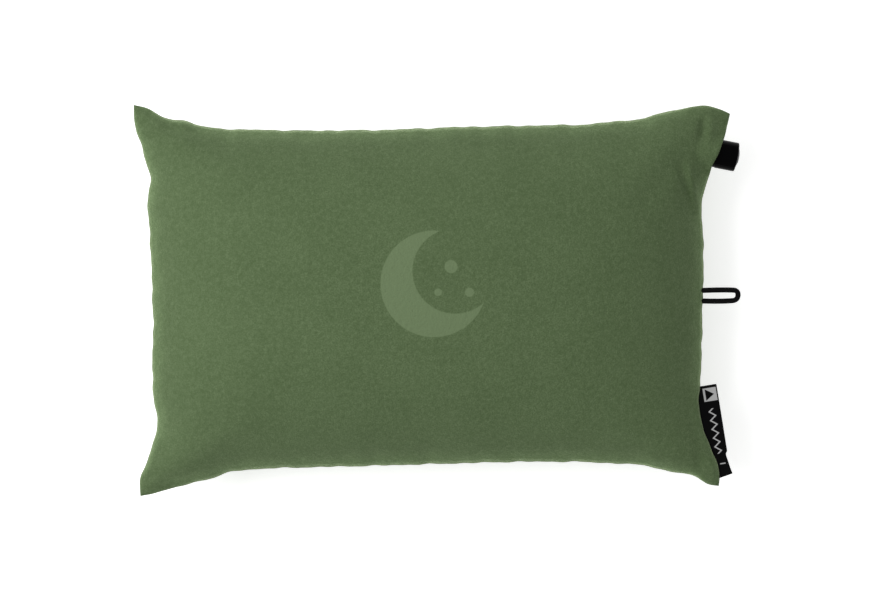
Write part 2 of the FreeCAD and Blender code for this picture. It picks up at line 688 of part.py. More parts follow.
# ---------------------------------------------------------------- assembly
def build():
    outer, inside = case_lens(0), case_lens(FABRIC)
    label_half = LABEL_CLOTH + LABEL_FOLD_GAP / 2 + PRESS_ROOM
    label_room = label_box(-LABEL_WIDTH - LOOSE_ROOM, PAST, LABEL_LENGTH + LOOSE_ROOM, label_half)
    valve_room = on_valve_axis(rod(CASE_HOLE_R, BOAT_FROM + WELD_WIDTH, 2 * KNOB_TO))
    seam_room = [valve_room, label_room] + leg_rooms()

    nodes = {}
    top, left, right = case_panels(outer.solid(), inside.solid(), seam_room)
    nodes["case_top_panel"] = top
    nodes["case_back_panel_left"] = left
    nodes["case_back_panel_right"] = right
    nodes["case_seam_overlock"] = seam_overlock(seam_room + [tack_block(LOOSE_ROOM)])
    nodes["side_label"] = side_label()
    nodes["care_label"] = care_label()
    nodes["stuff_sack"] = stuff_sack()
    nodes["hang_loop"] = hang_loop()
    nodes["hang_loop_tack"] = hang_loop_tack()
    nodes["foam_pad"] = foam_pad(inside, bladder_lens(0))
    nodes["bladder_top_skin"], nodes["bladder_bottom_skin"] = bladder_skins()
    for number, baffle in enumerate(baffles(), 1):
        nodes[f"bladder_baffle_{number}"] = baffle
    for name, make in (
        ("valve_boat", valve_boat),
        ("valve_gasket", valve_gasket),
        ("valve_body", valve_body),
        ("valve_poppet", valve_poppet),
        ("valve_poppet_oring", poppet_oring),
        ("valve_clip", valve_clip),
        ("valve_knob", valve_knob),
        ("valve_end_cap", valve_end_cap),
    ):
        nodes[name] = on_valve_axis(make())
    return nodes


def main():
    os.makedirs("parts", exist_ok=True)
    for name, shape in build().items():
        shape.exportStep(f"parts/{name}.step")
        solids = len(shape.Solids)
        print(f"{name:24s} solids {solids}  valid {shape.isValid()}  volume {shape.Volume / 1000:9.3f} cm3")


main()
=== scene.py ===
import math

import bpy
import numpy as np
from mathutils import Matrix, Vector


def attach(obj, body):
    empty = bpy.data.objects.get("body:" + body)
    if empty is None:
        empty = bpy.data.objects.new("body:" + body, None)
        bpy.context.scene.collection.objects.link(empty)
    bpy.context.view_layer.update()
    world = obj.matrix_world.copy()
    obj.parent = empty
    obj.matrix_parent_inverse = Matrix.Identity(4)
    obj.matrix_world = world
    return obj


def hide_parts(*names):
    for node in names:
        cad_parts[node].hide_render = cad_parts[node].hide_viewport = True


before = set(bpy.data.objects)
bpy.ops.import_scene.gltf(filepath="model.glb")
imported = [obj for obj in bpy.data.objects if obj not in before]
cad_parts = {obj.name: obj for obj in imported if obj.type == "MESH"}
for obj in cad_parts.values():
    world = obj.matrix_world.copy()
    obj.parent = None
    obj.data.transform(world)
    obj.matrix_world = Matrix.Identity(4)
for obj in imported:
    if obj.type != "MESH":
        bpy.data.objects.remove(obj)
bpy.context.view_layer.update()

MM = 0.001
SEAM_Z = 46.0  # mm, height of the case's seam

# ---------------------------------------------------------------- camera
PHOTO_WIDTH = 0.6296  # metres across the picture at the seam's height
LENS = 110.0
SENSOR = 36.0

camera_data = bpy.data.cameras.new("camera")
camera_data.lens = LENS
camera_data.sensor_width = SENSOR
camera = bpy.data.objects.new("camera", camera_data)
bpy.context.collection.objects.link(camera)
camera.location = (0.0025, -0.0004, SEAM_Z * MM + PHOTO_WIDTH * LENS / SENSOR)
bpy.context.scene.camera = camera


# ---------------------------------------------------------------- materials
class Shader:
    """A material's node tree, with a short way to add nodes to it."""

    def __init__(self, name, **sockets):
        self.material = bpy.data.materials.new(name)
        self.material.use_nodes = True
        self.tree = self.material.node_tree
        self.surface = self.tree.nodes["Principled BSDF"]
        for socket, value in sockets.items():
            self.surface.inputs[socket.replace("_", " ")].default_value = value
        self.place = self.add("ShaderNodeTexCoord").outputs["Object"]

    def add(self, kind, inputs=None, **settings):
        node = self.tree.nodes.new(kind)
        for key, value in settings.items():
            setattr(node, key, value)
        for key, value in (inputs or {}).items():
            self.feed(node.inputs[key], value)
        return node

    def feed(self, socket, value):
        if isinstance(value, bpy.types.NodeSocket):
            self.tree.links.new(value, socket)
        else:
            socket.default_value = value

    def noise(self, scale, detail=2.0, place=None, roughness=0.5):
        inputs = {"Vector": place or self.place, "Scale": scale, "Detail": detail, "Roughness": roughness}
        return self.add("ShaderNodeTexNoise", inputs).outputs["Fac"]

    def waves(self, place, scale, direction):
        inputs = {"Vector": place, "Scale": scale}
        return self.add("ShaderNodeTexWave", inputs, bands_direction=direction).outputs["Fac"]

    def math(self, operation, a, b=0.0):
        return self.add("ShaderNodeMath", {0: a, 1: b}, operation=operation).outputs[0]

    def vector(self, operation, inputs, output):
        return self.add("ShaderNodeVectorMath", inputs, operation=operation).outputs[output]

    def ramp(self, value, low, high):
        """0 below low, 1 above high, smooth between."""
        inputs = {"Value": value, "From Min": low, "From Max": high}
        return self.add("ShaderNodeMapRange", inputs, interpolation_type="SMOOTHSTEP").outputs["Result"]

    def mix(self, amount, a, b):
        node = self.add("ShaderNodeMix", data_type="RGBA")
        self.feed(node.inputs["Factor"], amount)
        self.feed(node.inputs["A"], a)
        self.feed(node.inputs["B"], b)
        return node.outputs["Result"]

    def colour(self, value):
        self.feed(self.surface.inputs["Base Color"], value)

    def bump(self, height, strength, distance):
        inputs = {"Height": height, "Strength": strength, "Distance": distance}
        normal = self.add("ShaderNodeBump", inputs).outputs["Normal"]
        self.feed(self.surface.inputs["Normal"], normal)

    def disc(self, x, y, radius, soft):
        """1 inside a circle of the XY plane."""
        flat = self.vector("MULTIPLY", {0: self.place, 1: (1, 1, 0)}, "Vector")
        away = self.vector("DISTANCE", {0: flat, 1: (x, y, 0)}, "Value")
        return self.ramp(away, radius + soft, radius - soft)


def rgba(red, green, blue):
    return (red, green, blue, 1.0)


# The suede's nap laid one way and the other, what its mottle and grain mix in, and the painted sheen near the
# seam.
SUEDE_SHADE, SUEDE_LIGHT = rgba(0.082, 0.122, 0.055), rgba(0.093, 0.136, 0.063)
NAP_TIPS, NAP_ROOTS = rgba(0.128, 0.178, 0.090), rgba(0.060, 0.094, 0.038)
PRINT = rgba(0.145, 0.200, 0.104)
SHEEN = rgba(0.50, 0.62, 0.36)
MOTTLE_SHARE, GRAIN_SHARE, PRINT_SHARE = 0.60, 0.66, 0.75
# How much the painted sheen lightens the colour where the cloth turns down to the seam.
RIM_SHEEN_GAIN = 0.34
RIM_SHEEN_RISE = 0.016  # metres from the seam's height to where the painted sheen has faded out


def suede(name, marked=False):
    """Short-napped olive microsuede: nap patches, a fine grain, painted sheen at the seam, a tone-on-tone
    print if marked.
    """
    shader = Shader(name, Roughness=0.95, Specular_IOR_Level=0.12, Sheen_Weight=0.75, Sheen_Roughness=0.30)
    shader.surface.inputs["Sheen Tint"].default_value = SHEEN
    patches = shader.ramp(shader.noise(22.0, 3.0), 0.35, 0.65)
    mottle = shader.ramp(shader.noise(330.0, 4.0, roughness=0.65), 0.32, 0.68)
    grain = shader.ramp(shader.noise(1000.0, 2.0), 0.30, 0.70)
    base = shader.mix(patches, SUEDE_SHADE, SUEDE_LIGHT)
    base = shader.mix(shader.math("MULTIPLY", mottle, MOTTLE_SHARE), base, NAP_TIPS)
    base = shader.mix(shader.math("MULTIPLY", grain, GRAIN_SHARE), base, NAP_ROOTS)
    if marked:
        base = shader.mix(shader.math("MULTIPLY", moon(shader), PRINT_SHARE), base, PRINT)
    # Painted sheen: the colour is lightened near the seam, where the cloth turns down.
    rim_sheen_scale = shader.math("ADD", 1.0, shader.math("MULTIPLY", painted_rim_sheen(shader), RIM_SHEEN_GAIN))
    shader.colour(shader.vector("SCALE", {0: base, "Scale": rim_sheen_scale}, "Vector"))
    fine, coarse = shader.noise(900.0, 3.0), shader.noise(300.0, 3.0)
    shader.bump(shader.math("ADD", fine, shader.math("MULTIPLY", coarse, 1.2)), 0.55, 0.0009)
    return shader.material


def painted_rim_sheen(shader):
    """Mask of the painted sheen: 1 where the cloth turns steeply down to the seam, fading out a little way
    up.
    """
    height = shader.add("ShaderNodeSeparateXYZ", {"Vector": shader.place}).outputs["Z"]
    above = shader.math("ABSOLUTE", shader.math("SUBTRACT", height, SEAM_Z * MM))
    normal = shader.add("ShaderNodeTexCoord").outputs["Normal"]
    upright = shader.math("ABSOLUTE", shader.add("ShaderNodeSeparateXYZ", {"Vector": normal}).outputs["Z"])
    return shader.math("MULTIPLY", shader.ramp(above, RIM_SHEEN_RISE, 0.0), shader.ramp(upright, 0.90, 0.55))


# The print's circles: x, y and radius, in metres.
MOON, MOON_BITE = (0.001, 0.011, 0.0375), (0.016, 0.020, 0.0300)
STARS = ((0.013, 0.023, 0.0046), (0.026, 0.005, 0.0032), (0.004, 0.005, 0.0026))
PRINT_EDGE = 0.0005


def moon(shader):
    """Crescent moon with three round stars."""
    crescent = shader.math("SUBTRACT", shader.disc(*MOON, PRINT_EDGE), shader.disc(*MOON_BITE, PRINT_EDGE))
    mark = shader.math("MAXIMUM", crescent, 0.0)
    for star in STARS:
        mark = shader.math("MAXIMUM", mark, shader.disc(*star, PRINT_EDGE))
    return mark


TAPE_THREADS = 420.0


def woven_tape(name, dark, raised, light, motif):
    """Tightly woven tape with a motif in pale thread, drawn in the tape's own directions."""
    shader = Shader(name, Roughness=0.8, Specular_IOR_Level=0.06)
    warp, weft = (shader.waves(shader.place, TAPE_THREADS, direction) for direction in "YX")
    both = shader.math("MULTIPLY", warp, weft)
    shader.colour(shader.mix(motif(shader), shader.mix(both, dark, raised), light))
    shader.bump(both, 0.3, 0.0002)
    return shader.material


def plain_cloth(name, low, high):
    """Fine cloth or film with a slight weave and mottling."""
    shader = Shader(name, Roughness=0.7, Specular_IOR_Level=0.3)
    mottle = shader.noise(60.0, 3.0)
    weave = shader.noise(900.0, 1.0)
    shader.colour(shader.mix(mottle, low, high))
    shader.bump(weave, 0.25, 0.0002)
    return shader.material


def foam_material():
    shader = Shader("foam", Roughness=0.95, Specular_IOR_Level=0.1)
    cells = shader.add("ShaderNodeTexVoronoi", {"Vector": shader.place, "Scale": 700.0}).outputs["Distance"]
    shader.colour(shader.mix(cells, rgba(0.62, 0.59, 0.50), rgba(0.80, 0.78, 0.70)))
    shader.bump(cells, 0.5, 0.0006)
    return shader.material


def moulded(name, low, high, roughness, specular=0.5):
    """Moulded plastic or rubber with a faint surface texture."""
    shader = Shader(name, Specular_IOR_Level=specular)
    texture = shader.noise(900.0, 2.0)
    shader.colour(shader.mix(shader.noise(90.0, 2.0), low, high))
    span = {"Value": texture, "To Min": roughness * 0.85, "To Max": roughness * 1.15}
    shader.feed(shader.surface.inputs["Roughness"], shader.add("ShaderNodeMapRange", span).outputs["Result"])
    shader.bump(texture, 0.05, 0.0001)
    return shader.material


BRAID_SLOPE = math.radians(38)
BRAID_STRANDS = 230.0


def braid(name):
    """Black braided elastic cord: crossed strands that show as a fine diagonal pattern."""
    shader = Shader(name, Roughness=0.7, Specular_IOR_Level=0.06)
    strands = []
    for slope in (BRAID_SLOPE, -BRAID_SLOPE):
        turn = {"Vector": shader.place, "Rotation": (0, 0, slope)}
        turned = shader.add("ShaderNodeMapping", turn).outputs["Vector"]
        strands.append(shader.waves(turned, BRAID_STRANDS, "Y"))
    both = shader.math("MAXIMUM", *strands)
    shader.colour(shader.mix(both, rgba(0.0010, 0.0010, 0.0010), rgba(0.0050, 0.0050, 0.0052)))
    shader.bump(both, 0.6, 0.0005)
    return shader.material


def steel():
    shader = Shader("spring_steel", Metallic=1.0, Roughness=0.35)
    shader.colour(shader.mix(shader.noise(400.0, 2.0), rgba(0.45, 0.45, 0.46), rgba(0.6, 0.6, 0.6)))
    return shader.material


# ---------------------------------------------------------------- hang loop
# The route's points, from the seam round the loop and back into the seam, in mm, as in the CAD model.
LOOP_ROUTE = [
    (190.5, 6.35, 0.0),
    (198.0, 6.65, -0.2),
    (205.6, 6.85, -0.8),
    (213.3, 6.90, -1.8),
    (221.2, 6.60, -3.1),
    (220.6, -0.60, -3.3),
    (212.9, -1.15, -2.0),
    (205.3, -1.30, -0.9),
    (197.8, -1.20, -0.3),
    (190.5, -1.00, 0.0),
]
CORD_DIAMETER = 3.8  # mm, with its fuzz


def make_loop():
    curve = bpy.data.curves.new("loop_cord", "CURVE")
    curve.dimensions = "3D"
    curve.bevel_depth = CORD_DIAMETER / 2 * MM
    curve.bevel_resolution = 6
    curve.use_fill_caps = True
    spline = curve.splines.new("NURBS")
    spline.points.add(len(LOOP_ROUTE) - 1)
    for point, (x, y, drop) in zip(spline.points, LOOP_ROUTE):
        point.co = (x * MM, y * MM, (SEAM_Z + drop) * MM, 1.0)
    spline.order_u = 3
    spline.use_endpoint_u = True
    spline.resolution_u = 12
    loop = bpy.data.objects.new("loop_cord", curve)
    bpy.context.collection.objects.link(loop)
    curve.materials.append(braid("loop_braid"))
    return loop


loop = make_loop()
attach(loop, "pillow")
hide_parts("hang_loop")

# ---------------------------------------------------------------- the case's outline, seen from above
# For the left and right sides (y, x), and for the back and front sides (x, y), in mm.
LEFT_SIDE = [
    (-142.0, -210.9), (-131.8, -211.8), (-126, -210.5), (-117.3, -206.1), (-104.3, -201.8),
    (-94, -199.4), (-87, -198.0), (-78, -200.4), (-68, -201.8), (-51, -202.5), (-20, -201.6),
    (30, -203.2), (57, -204.9), (70.4, -206.2), (80.5, -204.2), (87.7, -203.2), (97.8, -206.9),
    (109.4, -209.2), (121, -214.0), (128, -215.6), (140.5, -215.8),
]
RIGHT_SIDE = [
    (-134.6, 206.6), (-126, 207.4), (-118.8, 206.4), (-107.2, 200.9), (-92.2, 195.0), (-79.5, 192.8),
    (-71.4, 192.4), (-58.7, 193.2), (-46, 194.3), (-20, 194.6), (10, 195.4), (36.5, 195.9), (50, 195.0),
    (64.6, 194.0), (70.4, 194.9), (80.5, 196.3), (87.7, 199.3), (93.5, 200.0), (103.6, 204.7),
    (115.9, 209.7), (122.4, 211.9), (134.0, 214.8),
]
BACK_SIDE = [
    (-215.8, 140.5), (-209.7, 139.7), (-202.5, 136.8), (-197.5, 132.5), (-189.5, 130.0),
    (-179.4, 129.6), (-173.6, 127.7), (-168.6, 125.3), (-160, 124.0), (-146, 122.9), (-90, 121.9),
    (-35, 122.4), (20, 124.6), (92, 126.0), (111, 126.2), (125, 128.0), (145.5, 129.7), (157, 131.5),
    (164.3, 135.0), (174.4, 136.5), (184.5, 138.7), (193, 140.3), (202, 139.2), (209, 137.2),
    (214.8, 134.0),
]
FRONT_SIDE = [
    (-210.9, -142.0), (-202.5, -140.4), (-192.4, -137.5), (-180.9, -134.7), (-167.9, -131.0),
    (-156.3, -128.6), (-150.5, -125.4), (-139, -123.4), (-124.5, -122.4), (-113, -121.8), (-50, -120.3),
    (0, -118.9), (60, -117.2), (105, -117.2), (144, -119.0), (155.6, -120.0), (162.5, -122.2),
    (171.8, -124.5), (187.9, -126.6), (192.6, -129.2), (196.5, -132.6), (201, -134.2), (206.6, -134.6),
]
FLAT_LENGTH, FLAT_WIDTH = 434.0, 283.0  # mm, each panel before it is blown up
SIM_S, SIM_T = 109, 71  # points along and across each panel while it is blown up
COUNT_S, COUNT_T = 2 * SIM_S - 1, 2 * SIM_T - 1  # and when it is finished
SIDE_WAVES = (13.0, 21.0, 36.0)  # mm, lengths of the seam's small waves
SIDE_WAVE_SIZE = 0.6  # mm

rng = np.random.default_rng(7)


def soft_waves(position, lengths, phases):
    """Sum of sine waves of the given lengths, from about -1 to 1."""
    waves = [np.sin(2 * math.pi * position / length + phase) for length, phase in zip(lengths, phases)]
    return sum(waves) / len(waves)


def side_line(points, share):
    """Points of one side of the outline at the given shares of the way along it, softened."""
    along = np.array([p[0] for p in points], float)
    out = np.array([p[1] for p in points], float)
    at = along[0] + (along[-1] - along[0]) * share
    line = np.interp(at, along, out)
    line[1:-1] = (line[:-2] + 2 * line[1:-1] + line[2:]) / 4
    waves = soft_waves(at, SIDE_WAVES, rng.uniform(0, 2 * math.pi, 3))
    return at, line + SIDE_WAVE_SIZE * waves * np.sin(math.pi * share) ** 0.3


def plan_grid():
    """Plan positions of the panel's grid, filled in between the four sides."""
    s = np.linspace(0, 1, SIM_S)
    t = np.linspace(0, 1, SIM_T)
    left_y, left_x = side_line(LEFT_SIDE, t)
    right_y, right_x = side_line(RIGHT_SIDE, t)
    back_x, back_y = side_line(BACK_SIDE, s)
    front_x, front_y = side_line(FRONT_SIDE, s)
    sides = {
        "left": np.stack([left_x, left_y], 1),
        "right": np.stack([right_x, right_y], 1),
        "back": np.stack([back_x, back_y], 1),
        "front": np.stack([front_x, front_y], 1),
    }
    ss, tt = s[:, None, None], t[None, :, None]
    along = (1 - tt) * sides["front"][:, None] + tt * sides["back"][:, None]
    across = (1 - ss) * sides["left"][None] + ss * sides["right"][None]
    corners = (1 - ss) * ((1 - tt) * sides["left"][0] + tt * sides["left"][-1])
    corners = corners + ss * ((1 - tt) * sides["right"][0] + tt * sides["right"][-1])
    return along + across - corners


# ---------------------------------------------------------------- mesh helpers
def grid_faces(columns, rows, at):
    """Quads of a grid whose point (i, j) has the number at(i, j)."""
    return [
        (at(i, j), at(i + 1, j), at(i + 1, j + 1), at(i, j + 1))
        for i in range(columns - 1)
        for j in range(rows - 1)
    ]


def mesh_object(name, points, faces, material=None):
    mesh = bpy.data.meshes.new(name)
    mesh.from_pydata([tuple(p) for p in points], [], faces)
    mesh.validate()
    mesh.shade_smooth()
    made = bpy.data.objects.new(name, mesh)
    bpy.context.collection.objects.link(made)
    if material:
        mesh.materials.append(material)
    return made


def shell(name, outer, inner, material):
    """Closed piece between two grids of points of the same size, in mm."""
    columns, rows = outer.shape[:2]
    count = columns * rows
    faces = grid_faces(columns, rows, lambda i, j: i * rows + j)
    faces += [tuple(count + k for k in reversed(face)) for face in faces]
    border = [(i, 0) for i in range(columns)] + [(columns - 1, j) for j in range(1, rows)]
    border += [(i, rows - 1) for i in range(columns - 2, -1, -1)] + [(0, j) for j in range(rows - 2, 0, -1)]
    ring = [i * rows + j for i, j in border]
    for a, b in zip(ring, ring[1:] + ring[:1]):
        faces.append((b, a, count + a, count + b))
    points = np.concatenate([outer.reshape(-1, 3), inner.reshape(-1, 3)]) * MM
    return mesh_object(name, points, faces, material)


def grid_normals(points):
    """Unit normals of a grid, to the side that makes a right-handed set with its columns and rows."""
    along = np.gradient(points, axis=0)
    across = np.gradient(points, axis=1)
    normal = np.cross(along, across)
    return normal / np.maximum(np.linalg.norm(normal, axis=2, keepdims=True), 1e-9)


def smooth_step(value, low, high):
    share = np.clip((value - low) / (high - low), 0, 1)
    return share * share * (3 - 2 * share)


# ---------------------------------------------------------------- blowing up the case
def start_height(s, t):
    """Rough dome that the simulation starts from, in mm above the seam."""
    return 38.0 * (1 - np.abs(s) ** 3) ** 0.6 * (1 - np.abs(t) ** 2.6) ** 0.6


def finer(grid):
    """The grid with a point added between each two, along and across, on a smooth curve through them."""
    for axis in (0, 1):
        grid = np.swapaxes(grid, 0, axis)
        ends = np.concatenate([2 * grid[:1] - grid[1:2], grid, 2 * grid[-1:] - grid[-2:-1]])
        halfway = (9 * (ends[1:-2] + ends[2:-1]) - ends[:-3] - ends[3:]) / 16
        dense = np.empty((2 * len(grid) - 1,) + grid.shape[1:])
        dense[::2], dense[1::2] = grid, halfway
        grid = np.swapaxes(dense, 0, axis)
    return grid


SIM_FRAMES = 30
CLOTH_SETTINGS = {
    "quality": 8,
    "mass": 0.15,
    "tension_stiffness": 12.0,
    "compression_stiffness": 4.0,
    "shear_stiffness": 3.0,
    "bending_stiffness": 0.6,
    "tension_damping": 10.0,
    "air_damping": 4.0,
    "use_pressure": True,
    "uniform_pressure_force": 400.0,
    "vertex_group_mass": "seam",
}


def blow_up():
    """Blows up the two panels, sewn together round their edge. Gives the top's and back's points in mm."""
    plan = plan_grid()
    s = np.linspace(-1, 1, SIM_S)[:, None]
    t = np.linspace(-1, 1, SIM_T)[None, :]
    rise = start_height(s, t)
    flat = (s * FLAT_LENGTH / 2, t * FLAT_WIDTH / 2, np.zeros_like(rise))
    flat = np.stack(np.broadcast_arrays(*flat), 2)
    top = np.dstack([plan, SEAM_Z + rise])
    back = np.dstack([plan, SEAM_Z - rise])
    rim = np.ones((SIM_S, SIM_T), bool)
    rim[1:-1, 1:-1] = False
    numbers = np.arange(SIM_S * SIM_T).reshape(SIM_S, SIM_T)
    under = numbers.copy()
    under[1:-1, 1:-1] = SIM_S * SIM_T + np.arange((SIM_S - 2) * (SIM_T - 2)).reshape(SIM_S - 2, SIM_T - 2)
    points = np.concatenate([top.reshape(-1, 3), back[1:-1, 1:-1].reshape(-1, 3)]) * MM
    rest = np.concatenate([flat.reshape(-1, 3), flat[1:-1, 1:-1].reshape(-1, 3)]) * MM
    faces = grid_faces(SIM_S, SIM_T, lambda i, j: int(numbers[i, j]))
    faces += [tuple(reversed(f)) for f in grid_faces(SIM_S, SIM_T, lambda i, j: int(under[i, j]))]
    body = mesh_object("blown_case", points, faces)
    held = body.vertex_groups.new(name="seam")
    held.add([int(k) for k in numbers[rim]], 1.0, "REPLACE")
    body.shape_key_add(name="Basis")
    pattern = body.shape_key_add(name="flat pattern")
    pattern.data.foreach_set("co", rest.ravel())
    pattern.value = 0.0
    cloth = body.modifiers.new("Cloth", "CLOTH")
    for setting, value in CLOTH_SETTINGS.items():
        setattr(cloth.settings, setting, value)
    cloth.settings.effector_weights.gravity = 0.0
    cloth.settings.rest_shape_key = pattern
    cloth.collision_settings.use_collision = False
    cloth.collision_settings.use_self_collision = False
    cloth.point_cache.frame_end = SIM_FRAMES
    scene = bpy.context.scene
    for number in range(1, SIM_FRAMES + 1):
        scene.frame_set(number)
    seen = body.evaluated_get(bpy.context.evaluated_depsgraph_get()).to_mesh()
    found = np.empty(len(seen.vertices) * 3)
    seen.vertices.foreach_get("co", found)
    found = found.reshape(-1, 3) / MM
    scene.frame_set(1)
    bpy.data.objects.remove(body)
    return finer(found[numbers]), finer(found[under])


# ---------------------------------------------------------------- finishing the blown-up shape
VALVE_EDGE = np.array([205.3, 105.4])  # where the valve's axis crosses the case's edge
VALVE_TILT = math.radians(-11.0)
MOUTH_HEIGHT = 12.6  # mm, from the valve's axis to the fabric over it
MOUTH_HALF_WIDTH = 19.0
MOUTH_FROM, MOUTH_FULL = -62.0, -6.0  # mm along the valve's axis, where the mouth starts and is fully open
MOUTH_BLEND = 3.0
LOFT = 100.0
FOOT_SOFTNESS = 1.6
FOOT_DEPTH = 4.0  # how far the back panel would hang below the floor if it were free
FULLNESS = 1.25  # how much the foam rounds the case out towards the seam; 1 is not at all
SEAM_HOLD = 3.5  # mm from the seam, within which folds and gathers fade out
GATHER_WAVES = (19.0, 31.0, 47.0)
GATHER_SIZE = 0.7
GATHER_MIDDLE, GATHER_REACH = 6.0, 6.0  # mm in from the edge
DEEP_FOLD = 1.55  # mm, the least fold of the top that shows in the back too
TOP, BACK = 1, -1


def rim_distance(plan):
    """Distances in mm from each point to the left, right, front and back side, measured along the grid."""
    s_way = np.linalg.norm(np.diff(plan, axis=0), axis=2)
    t_way = np.linalg.norm(np.diff(plan, axis=1), axis=2)
    along = np.vstack([np.zeros((1, COUNT_T)), np.cumsum(s_way, 0)])
    across = np.hstack([np.zeros((COUNT_S, 1)), np.cumsum(t_way, 1)])
    left, right = along, along[-1:] - along
    front, back_side = across, across[:, -1:] - across
    return left, right, front, back_side


def off_seam(plan):
    """0 at the seam, which stays closed, and 1 from a few millimetres in."""
    return smooth_step(np.minimum.reduce(rim_distance(plan)), 0.0, SEAM_HOLD)


def seam_gathers(panel, plan, phases):
    """Small gathers that the seam's thread pulls into the fabric, up to about 14 mm from the edge."""
    left, right, front, back_side = rim_distance(plan)
    lift = np.zeros(panel.shape[:2])
    for k, (near, position) in enumerate(((left, front), (right, front), (front, left), (back_side, left))):
        reach = np.exp(-(((near - GATHER_MIDDLE) / GATHER_REACH) ** 2))
        lift += reach * soft_waves(position, GATHER_WAVES, phases[k])
    return panel + grid_normals(panel) * (lift * off_seam(plan) * GATHER_SIZE)[..., None]


# Soft folds of the top panel: from, to, half width and height in mm.
TOP_FOLDS = (
    ((182.5, 98.0), (192.5, 58.0), 2.6, 3.0), ((176.5, 102.0), (187.0, 58.0), 3.6, -2.6),
    ((195.5, 134.0), (190.5, 98.0), 2.8, -3.5), ((201.0, 133.0), (198.0, 96.0), 3.0, 3.1),
    ((161.0, 137.0), (178.0, 124.0), 2.6, 1.3), ((-202.0, 133.0), (-164.0, 121.5), 3.0, 1.9),
    ((-196.0, 127.0), (-160.0, 116.0), 4.0, -1.2), ((-209.0, -139.0), (-168.0, -127.0), 3.2, -1.5),
    ((-207.0, -128.0), (-196.0, -95.0), 3.6, 1.6), ((205.0, -133.0), (199.0, -104.0), 2.8, 2.0),
    ((194.0, -131.0), (189.0, -98.0), 3.6, -1.8), ((-203.0, 131.0), (-125.0, 80.0), 10.0, 1.6),
    ((-200.0, -130.0), (-125.0, -85.0), 10.0, 1.7), ((205.0, 128.0), (140.0, 60.0), 10.0, -2.3),
    ((198.0, -126.0), (120.0, -85.0), 10.0, 1.6), ((-150.0, 121.0), (-60.0, 114.0), 4.5, -0.8),
    ((-90.0, -117.0), (20.0, -110.0), 5.0, -0.9), ((40.0, -114.0), (150.0, -112.0), 5.0, -0.8),
)
BACK_FOLDS = tuple(
    (start, end, width + 2.0, size) for start, end, width, size in TOP_FOLDS if abs(size) > DEEP_FOLD
)


def add_folds(panel, plan, sign, folds):
    """Adds soft straight folds that run out at both ends."""
    height = np.zeros(panel.shape[:2])
    for start, end, width, size in folds:
        line = np.subtract(end, start)
        length = np.hypot(*line)
        away = plan - start
        share = np.clip(away @ line / length**2, 0, 1)
        off = (away[..., 0] * line[1] - away[..., 1] * line[0]) / length
        height += size * np.exp(-((off / width) ** 2)) * np.sin(math.pi * share) ** 0.8
    out = panel.copy()
    out[..., 2] += sign * height * off_seam(plan)
    return out


def valve_mouth(panel, sign):
    """Opens the seam round the valve: the panel runs over the knob's skirt as a short sleeve."""
    axis = np.array([math.cos(VALVE_TILT), math.sin(VALVE_TILT)])
    away = panel[..., :2] - VALVE_EDGE
    along = away @ axis
    off = away[..., 1] * axis[0] - away[..., 0] * axis[1]
    arch = np.cos(math.pi / 2 * np.clip(np.abs(off) / MOUTH_HALF_WIDTH, 0, 1)) ** 1.15 * MOUTH_HEIGHT
    fade = smooth_step(along, MOUTH_FROM, MOUTH_FULL)
    wanted = arch * fade
    height = sign * (panel[..., 2] - SEAM_Z)
    higher = 0.5 * (height + wanted + np.sqrt((height - wanted) ** 2 + MOUTH_BLEND**2 * fade))
    risen = np.where(wanted > 0.01, higher, height)
    risen = np.maximum(risen - 0.5 * MOUTH_BLEND * np.sqrt(fade) * (wanted < 0.5), height)
    out = panel.copy()
    out[..., 2] = SEAM_Z + sign * risen
    return out


def fuller(height):
    """Heights as a share of the greatest, rounded out towards the seam as foam fills the case there."""
    share = np.clip(height / height.max(), 0, 1)
    return 1 - (1 - share) ** FULLNESS


def finish_shape(top, back):
    """Scales the panels to the loft, adds folds, gathers and the mouth, and presses the foot flat."""
    plan = (top[..., :2] + back[..., :2]) / 2
    top[..., 2] = SEAM_Z + fuller(top[..., 2] - SEAM_Z) * (LOFT - SEAM_Z)
    back[..., 2] = SEAM_Z - fuller(SEAM_Z - back[..., 2]) * (SEAM_Z + FOOT_DEPTH)
    phases = rng.uniform(0, 2 * math.pi, (2, 4, 3))
    top = add_folds(seam_gathers(top, plan, phases[0]), plan, TOP, TOP_FOLDS)
    back = add_folds(seam_gathers(back, plan, phases[1]), plan, BACK, BACK_FOLDS)
    top, back = valve_mouth(top, TOP), valve_mouth(back, BACK)
    height = back[..., 2]
    back[..., 2] = (height + np.sqrt(height**2 + 4 * FOOT_SOFTNESS**2)) / 2
    low = back[..., 2].min()
    back[..., 2] -= low * smooth_step(SEAM_Z - back[..., 2], 0, SEAM_Z - 6)
    return top, back


def inward(panel, sign, depth):
    """The panel's points moved in by depth, in mm."""
    return panel - sign * grid_normals(panel) * depth


top, back = finish_shape(*blow_up())
s_at = np.linspace(-1, 1, COUNT_S)
t_at = np.linspace(-1, 1, COUNT_T)


def part_of(points, s_from, s_to, t_from=-1.0, t_to=1.0):
    """The part of a grid between the given shares along and across the panel."""
    columns = np.where((s_at >= s_from - 1e-6) & (s_at <= s_to + 1e-6))[0]
    rows = np.where((t_at >= t_from - 1e-6) & (t_at <= t_to + 1e-6))[0]
    return points[columns[0] : columns[-1] + 1, rows[0] : rows[-1] + 1]


def between_panels(share):
    """Grid at a share of the way from the back panel to the top panel; share is a number or a grid."""
    share = np.broadcast_to(share, (COUNT_S, COUNT_T))[..., None]
    return back + (top - back) * share


# ---------------------------------------------------------------- case
FABRIC = 1.0
OPENING_S = 0.15  # the left back panel's free edge, as a share of half the length
OVERLAP_S = -0.15  # the right back panel's hidden edge
SEAM_GAP = 0.3  # half the gap between the panels along the stitched edge
MOST_OF_GAP = 0.4  # the fabric's greatest thickness, as a share of the gap between the panels
HEM = 0.9  # a hem's extra thickness, as a share of the fabric's
TUCK = 2.2  # how far the hidden panel lies inside the outer one

